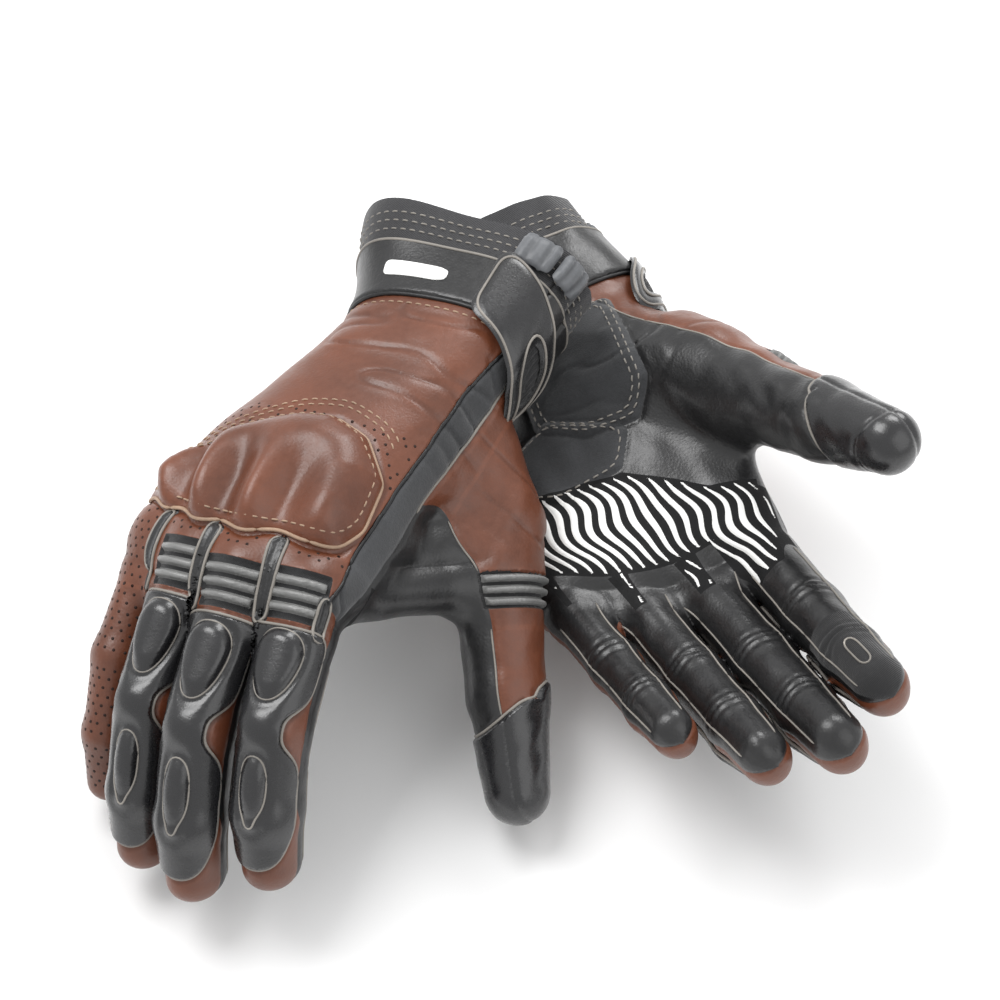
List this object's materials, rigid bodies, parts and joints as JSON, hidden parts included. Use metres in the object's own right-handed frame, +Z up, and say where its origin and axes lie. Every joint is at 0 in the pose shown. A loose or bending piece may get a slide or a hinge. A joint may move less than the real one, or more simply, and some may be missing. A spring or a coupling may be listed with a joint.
{
  "type": "motorcycle riding gloves",
  "caption": "Pair of short-cuff motorcycle gloves with a moulded knuckle guard, padded fingers, flex pleats, wrist straps and a wavy grip print.",
  "frame": {"origin": "centre of the bounding box at its lowest point; the pair lies on the plane z = 0", "axes": "+Z up, -Y the way the fingers point, +X towards the left glove"},
  "size_m": [0.2504, 0.2514, 0.1078],
  "materials": {
    "brown_leather": "full grain, satin, perforated on the back",
    "black_leather": "fine grain, light sheen",
    "padded_leather": "smooth, over foam, glossy",
    "grey_suede": "napped, matt",
    "grip_print": "raised white silicone waves on black",
    "stretch_pleat": "ribbed, light grey over black",
    "stretch_fabric": "woven, matt",
    "rubber_tab": "moulded, grooved"
  },
  "bodies": {
    "right_shell": {"right_back_panel": "brown_leather", "right_palm_panel": "black_leather", "right_knuckle_guard": "brown_leather", "right_flex_ribs": "stretch_pleat", "right_cuff_band": "black_leather", "right_heel_pads": "grey_suede", "right_grip_panel": "grip_print", "right_thumb_gusset": "stretch_fabric"},
    "right_strap": {"right_wrist_strap": "black_leather", "right_pull_tab": "rubber_tab"},
    "right_index_root": {"right_index_proximal": "black_leather", "right_index_knuckle_pad": "padded_leather"},
    "right_index_mid": {"right_index_middle": "black_leather", "right_index_finger_pad": "padded_leather"},
    "right_index_end": {"right_index_tip": "brown_leather"},
    "right_middle_root": {"right_middle_proximal": "black_leather", "right_middle_knuckle_pad": "padded_leather"},
    "right_middle_mid": {"right_middle_middle": "black_leather", "right_middle_finger_pad": "padded_leather"},
    "right_middle_end": {"right_middle_tip": "brown_leather"},
    "right_ring_root": {"right_ring_proximal": "black_leather", "right_ring_knuckle_pad": "padded_leather"},
    "right_ring_mid": {"right_ring_middle": "black_leather", "right_ring_finger_pad": "padded_leather"},
    "right_ring_end": {"right_ring_tip": "brown_leather"},
    "right_little_root": {"right_little_proximal": "brown_leather"},
    "right_little_mid": {"right_little_middle": "brown_leather"},
    "right_little_end": {"right_little_tip": "brown_leather"},
    "right_thumb_root": {"right_thumb_base": "brown_leather"},
    "right_thumb_end": {"right_thumb_tip": "black_leather"},
    "left_shell": {"left_back_panel": "brown_leather", "left_palm_panel": "black_leather", "left_knuckle_guard": "brown_leather", "left_flex_ribs": "stretch_pleat", "left_cuff_band": "black_leather", "left_heel_pads": "grey_suede", "left_grip_panel": "grip_print", "left_thumb_gusset": "stretch_fabric"},
    "left_strap": {"left_wrist_strap": "black_leather", "left_pull_tab": "rubber_tab"},
    "left_index_root": {"left_index_proximal": "black_leather", "left_index_knuckle_pad": "padded_leather"},
    "left_index_mid": {"left_index_middle": "black_leather", "left_index_finger_pad": "padded_leather"},
    "left_index_end": {"left_index_tip": "brown_leather"},
    "left_middle_root": {"left_middle_proximal": "black_leather", "left_middle_knuckle_pad": "padded_leather"},
    "left_middle_mid": {"left_middle_middle": "black_leather", "left_middle_finger_pad": "padded_leather"},
    "left_middle_end": {"left_middle_tip": "brown_leather"},
    "left_ring_root": {"left_ring_proximal": "black_leather", "left_ring_knuckle_pad": "padded_leather"},
    "left_ring_mid": {"left_ring_middle": "black_leather", "left_ring_finger_pad": "padded_leather"},
    "left_ring_end": {"left_ring_tip": "brown_leather"},
    "left_little_root": {"left_little_proximal": "brown_leather"},
    "left_little_mid": {"left_little_middle": "brown_leather"},
    "left_little_end": {"left_little_tip": "brown_leather"},
    "left_thumb_root": {"left_thumb_base": "brown_leather"},
    "left_thumb_end": {"left_thumb_tip": "black_leather"}
  },
  "joints": [
    {"name": "right_index_knuckle", "type": "hinge", "parent": "right_shell", "child": "right_index_root", "pos_m": [-0.05373, -0.05271, 0.07871], "axis": [0.9067, -0.3581, 0.2229], "range_deg": [-27, 38], "stiffness_Nm_per_rad": 0.8},
    {"name": "right_index_middle_joint", "type": "hinge", "parent": "right_index_root", "child": "right_index_mid", "pos_m": [-0.06441, -0.09011, 0.06204], "axis": [0.9067, -0.3581, 0.2229], "range_deg": [-23, 42], "stiffness_Nm_per_rad": 0.4},
    {"name": "right_index_tip_joint", "type": "hinge", "parent": "right_index_mid", "child": "right_index_end", "pos_m": [-0.06679, -0.1072, 0.04429], "axis": [0.9067, -0.3581, 0.2229], "range_deg": [-14, 26]},
    {"name": "right_middle_knuckle", "type": "hinge", "parent": "right_shell", "child": "right_middle_root", "pos_m": [-0.07397, -0.04662, 0.07607], "axis": [0.8971, -0.3805, 0.2244], "range_deg": [-27, 38], "stiffness_Nm_per_rad": 0.8},
    {"name": "right_middle_middle_joint", "type": "hinge", "parent": "right_middle_root", "child": "right_middle_mid", "pos_m": [-0.0866, -0.08735, 0.05752], "axis": [0.8971, -0.3805, 0.2244], "range_deg": [-23, 42], "stiffness_Nm_per_rad": 0.4},
    {"name": "right_middle_tip_joint", "type": "hinge", "parent": "right_middle_mid", "child": "right_middle_end", "pos_m": [-0.0896, -0.10598, 0.03793], "axis": [0.8971, -0.3805, 0.2244], "range_deg": [-14, 26]},
    {"name": "right_ring_knuckle", "type": "hinge", "parent": "right_shell", "child": "right_ring_root", "pos_m": [-0.08944, -0.03471, 0.06937], "axis": [0.8885, -0.3996, 0.2255], "range_deg": [-27, 38], "stiffness_Nm_per_rad": 0.8},
    {"name": "right_ring_middle_joint", "type": "hinge", "parent": "right_ring_root", "child": "right_ring_mid", "pos_m": [-0.10258, -0.07429, 0.051], "axis": [0.8885, -0.3996, 0.2255], "range_deg": [-23, 42], "stiffness_Nm_per_rad": 0.4},
    {"name": "right_ring_tip_joint", "type": "hinge", "parent": "right_ring_mid", "child": "right_ring_end", "pos_m": [-0.10584, -0.09241, 0.03172], "axis": [0.8885, -0.3996, 0.2255], "range_deg": [-14, 26]},
    {"name": "right_little_knuckle", "type": "hinge", "parent": "right_shell", "child": "right_little_root", "pos_m": [-0.10039, -0.0192, 0.05991], "axis": [0.862, -0.4526, 0.2282], "range_deg": [-27, 38], "stiffness_Nm_per_rad": 0.8},
    {"name": "right_little_middle_joint", "type": "hinge", "parent": "right_little_root", "child": "right_little_mid", "pos_m": [-0.11392, -0.05343, 0.04312], "axis": [0.862, -0.4526, 0.2282], "range_deg": [-23, 42], "stiffness_Nm_per_rad": 0.4},
    {"name": "right_little_tip_joint", "type": "hinge", "parent": "right_little_mid", "child": "right_little_end", "pos_m": [-0.11759, -0.06914, 0.02581], "axis": [0.862, -0.4526, 0.2282], "range_deg": [-14, 26]},
    {"name": "right_thumb_knuckle", "type": "hinge", "parent": "right_shell", "child": "right_thumb_root", "pos_m": [-0.00055, -0.02394, 0.04423], "axis": [0.8001, 0.3136, -0.5114], "range_deg": [-8, 20], "stiffness_Nm_per_rad": 0.8},
    {"name": "right_thumb_tip_joint", "type": "hinge", "parent": "right_thumb_root", "child": "right_thumb_end", "pos_m": [0.00292, -0.0588, 0.02826], "axis": [0.8001, 0.3136, -0.5114], "range_deg": [-8, 45], "stiffness_Nm_per_rad": 0.4},
    {"name": "right_strap_hinge", "type": "hinge", "parent": "right_shell", "child": "right_strap", "pos_m": [0.00035, 0.01796, 0.06374], "axis": [0.633, 0.7732, 0.0397], "range_deg": [0, 50], "stiffness_Nm_per_rad": 0.1},
    {"name": "left_index_knuckle", "type": "hinge", "parent": "left_shell", "child": "left_index_root", "pos_m": [0.07786, -0.00397, 0.03363], "axis": [-0.8214, -0.5032, -0.2687], "range_deg": [-14, 50], "stiffness_Nm_per_rad": 0.8},
    {"name": "left_index_middle_joint", "type": "hinge", "parent": "left_index_root", "child": "left_index_mid", "pos_m": [0.09646, -0.04029, 0.04482], "axis": [-0.8214, -0.5032, -0.2687], "range_deg": [-7, 56], "stiffness_Nm_per_rad": 0.4},
    {"name": "left_index_tip_joint", "type": "hinge", "parent": "left_index_mid", "child": "left_index_end", "pos_m": [0.10615, -0.06109, 0.05411], "axis": [-0.8214, -0.5032, -0.2687], "range_deg": [-5, 34]},
    {"name": "left_middle_knuckle", "type": "hinge", "parent": "left_shell", "child": "left_middle_root", "pos_m": [0.06101, -0.0142, 0.02605], "axis": [-0.8178, -0.5091, -0.2684], "range_deg": [-14, 50], "stiffness_Nm_per_rad": 0.8},
    {"name": "left_middle_middle_joint", "type": "hinge", "parent": "left_middle_root", "child": "left_middle_mid", "pos_m": [0.0817, -0.05396, 0.03843], "axis": [-0.8178, -0.5091, -0.2684], "range_deg": [-7, 56], "stiffness_Nm_per_rad": 0.4},
    {"name": "left_middle_tip_joint", "type": "hinge", "parent": "left_middle_mid", "child": "left_middle_end", "pos_m": [0.0925, -0.07673, 0.04868], "axis": [-0.8178, -0.5091, -0.2684], "range_deg": [-5, 34]},
    {"name": "left_ring_knuckle", "type": "hinge", "parent": "left_shell", "child": "left_ring_root", "pos_m": [0.04025, -0.018, 0.02237], "axis": [-0.8159, -0.5121, -0.2683], "range_deg": [-14, 50], "stiffness_Nm_per_rad": 0.8},
    {"name": "left_ring_middle_joint", "type": "hinge", "parent": "left_ring_root", "child": "left_ring_mid", "pos_m": [0.06065, -0.05689, 0.03454], "axis": [-0.8159, -0.5121, -0.2683], "range_deg": [-7, 56], "stiffness_Nm_per_rad": 0.4},
    {"name": "left_ring_tip_joint", "type": "hinge", "parent": "left_ring_mid", "child": "left_ring_end", "pos_m": [0.07131, -0.07915, 0.04462], "axis": [-0.8159, -0.5121, -0.2683], "range_deg": [-5, 34]},
    {"name": "left_little_knuckle", "type": "hinge", "parent": "left_shell", "child": "left_little_root", "pos_m": [0.01782, -0.01677, 0.02196], "axis": [-0.8123, -0.5181, -0.2681], "range_deg": [-14, 25], "stiffness_Nm_per_rad": 0.8},
    {"name": "left_little_middle_joint", "type": "hinge", "parent": "left_little_root", "child": "left_little_mid", "pos_m": [0.03616, -0.05115, 0.03284], "axis": [-0.8123, -0.5181, -0.2681], "range_deg": [-7, 56], "stiffness_Nm_per_rad": 0.4},
    {"name": "left_little_tip_joint", "type": "hinge", "parent": "left_little_mid", "child": "left_little_end", "pos_m": [0.04575, -0.07083, 0.04183], "axis": [-0.8123, -0.5181, -0.2681], "range_deg": [-5, 34]},
    {"name": "left_thumb_knuckle", "type": "hinge", "parent": "left_shell", "child": "left_thumb_root", "pos_m": [0.07859, 0.03129, 0.06085], "axis": [-0.0537, -0.6598, -0.7495], "range_deg": [-8, 8], "stiffness_Nm_per_rad": 0.8},
    {"name": "left_thumb_tip_joint", "type": "hinge", "parent": "left_thumb_root", "child": "left_thumb_end", "pos_m": [0.09935, 0.00623, 0.08142], "axis": [-0.0537, -0.6598, -0.7495], "range_deg": [-8, 30], "stiffness_Nm_per_rad": 0.4},
    {"name": "left_strap_hinge", "type": "hinge", "parent": "left_shell", "child": "left_strap", "pos_m": [0.0464, 0.07756, 0.05009], "axis": [0.3217, -0.9468, -0.007], "range_deg": [0, 50], "stiffness_Nm_per_rad": 0.1},
    {"name": "gloves_apart", "type": "slide", "parent": "right_shell", "child": "left_shell", "axis": [1, 0, 0], "range_m": [0, 0.2]}
  ],
  "couplings": [
    {"joint": "right_index_tip_joint", "follows": "right_index_middle_joint", "ratio": 0.6},
    {"joint": "right_middle_tip_joint", "follows": "right_middle_middle_joint", "ratio": 0.6},
    {"joint": "right_ring_tip_joint", "follows": "right_ring_middle_joint", "ratio": 0.6},
    {"joint": "right_little_tip_joint", "follows": "right_little_middle_joint", "ratio": 0.6},
    {"joint": "left_index_tip_joint", "follows": "left_index_middle_joint", "ratio": 0.6},
    {"joint": "left_middle_tip_joint", "follows": "left_middle_middle_joint", "ratio": 0.6},
    {"joint": "left_ring_tip_joint", "follows": "left_ring_middle_joint", "ratio": 0.6},
    {"joint": "left_little_tip_joint", "follows": "left_little_middle_joint", "ratio": 0.6}
  ]
}
